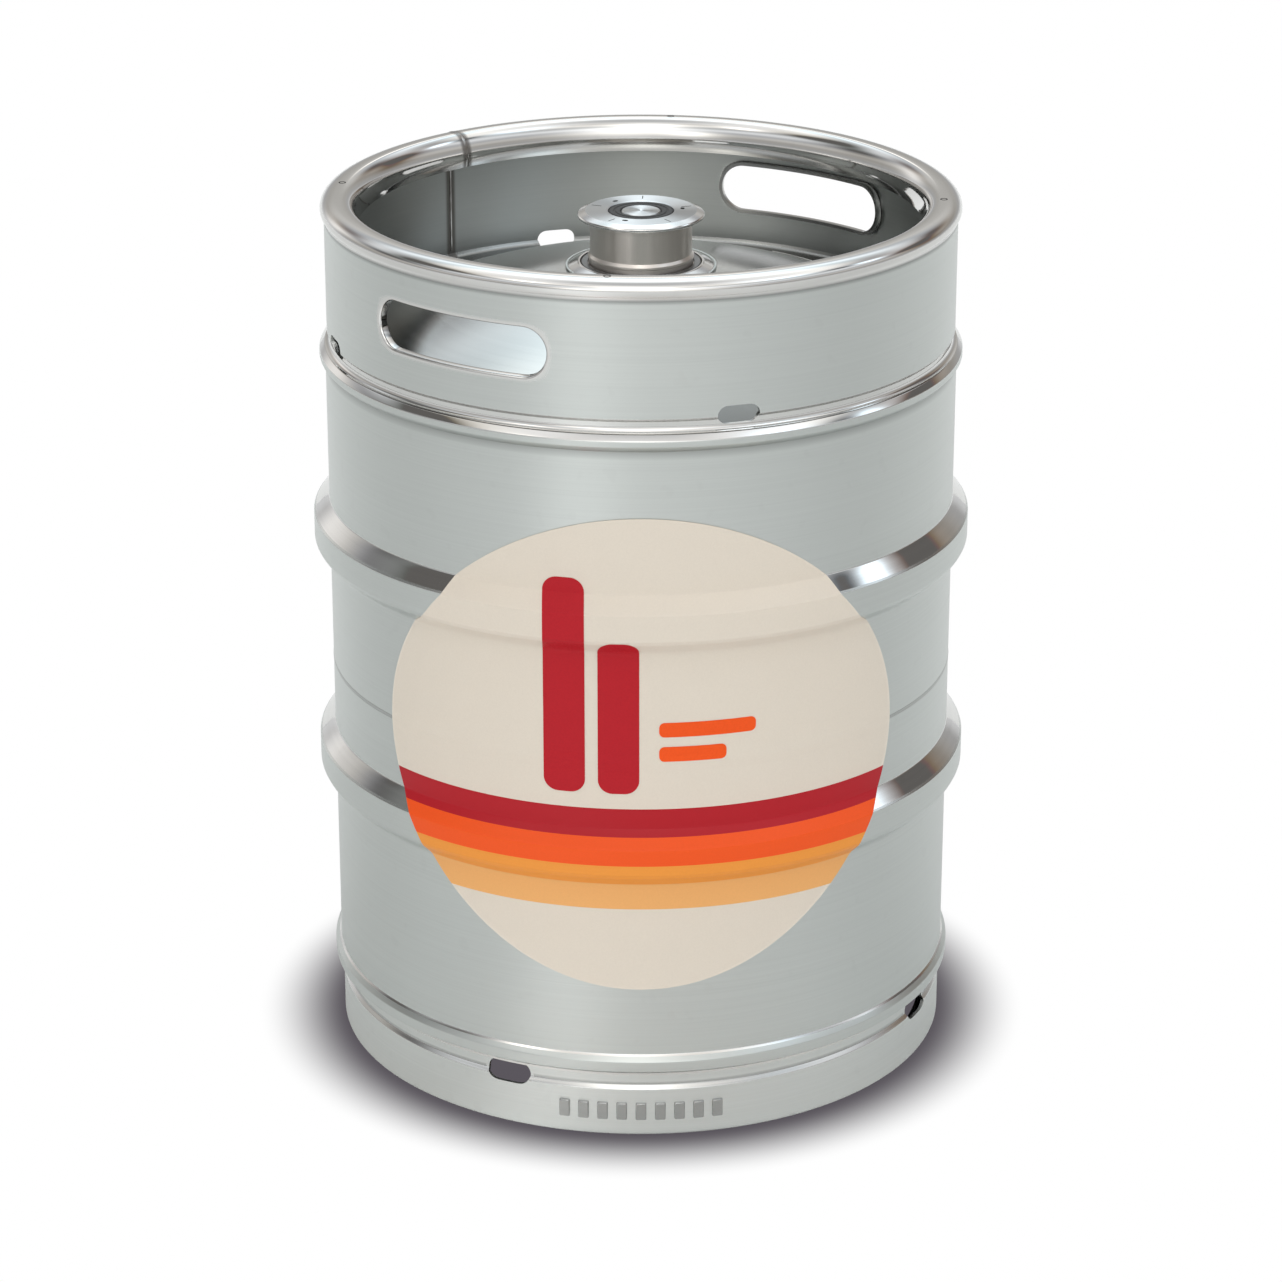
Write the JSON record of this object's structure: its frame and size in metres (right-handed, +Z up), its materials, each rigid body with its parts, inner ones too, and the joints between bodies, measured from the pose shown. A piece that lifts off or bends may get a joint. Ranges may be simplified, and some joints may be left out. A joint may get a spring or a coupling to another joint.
{
  "type": "beer keg",
  "caption": "Stainless beer keg with rolling hoops, slotted top chime, flat sprung valve fitting with down tube, and a round banded front label.",
  "frame": {"origin": "centre of the keg's footprint on the floor", "axes": "+Z up along the keg's axis, -Y towards the label"},
  "size_m": [0.399, 0.3997, 0.532],
  "materials": {
    "shell_steel": "satin brushed round the body, with polished hoop flanks",
    "chime_steel": "satin wall with a polished rolled rim",
    "bright_steel": "turned and brushed bright",
    "weld_metal": "ground weld bead with slight heat tint",
    "spring_steel": "dark drawn wire",
    "black_rubber": "matt black moulded rubber",
    "white_plastic": "natural moulded plastic",
    "label_film": "thin printed film in cream with plain warm bands",
    "ticket_paper": "blank white paper ticket"
  },
  "bodies": {
    "keg": {"upper_shell": "shell_steel", "lower_shell": "shell_steel", "girth_weld": "weld_metal", "top_chime": "chime_steel", "top_chime_weld": "weld_metal", "foot_chime": "chime_steel", "foot_chime_weld": "weld_metal", "neck_boss": "bright_steel", "boss_weld": "weld_metal", "neck_seal": "black_rubber", "retaining_ring": "spring_steel", "spear_body": "bright_steel", "spring_cage": "bright_steel", "tube_guide": "white_plastic", "main_spring": "spring_steel", "front_label": "label_film", "dome_ticket": "ticket_paper"},
    "gas_valve": {"gas_seal": "black_rubber", "valve_carrier": "bright_steel", "down_tube": "bright_steel", "beer_spring_seat": "white_plastic", "beer_spring": "spring_steel"},
    "beer_valve": {"beer_plunger": "bright_steel"}
  },
  "joints": [
    {"name": "gas_valve_slide", "type": "slide", "parent": "keg", "child": "gas_valve", "axis": [0, 0, -1], "range_m": [0, 0.006], "stiffness_N_per_m": 4000, "springref_m": -0.004, "deforming": ["main_spring"]},
    {"name": "beer_valve_slide", "type": "slide", "parent": "gas_valve", "child": "beer_valve", "axis": [0, 0, -1], "range_m": [0, 0.005], "stiffness_N_per_m": 1000, "springref_m": -0.004, "deforming": ["beer_spring"]}
  ]
}
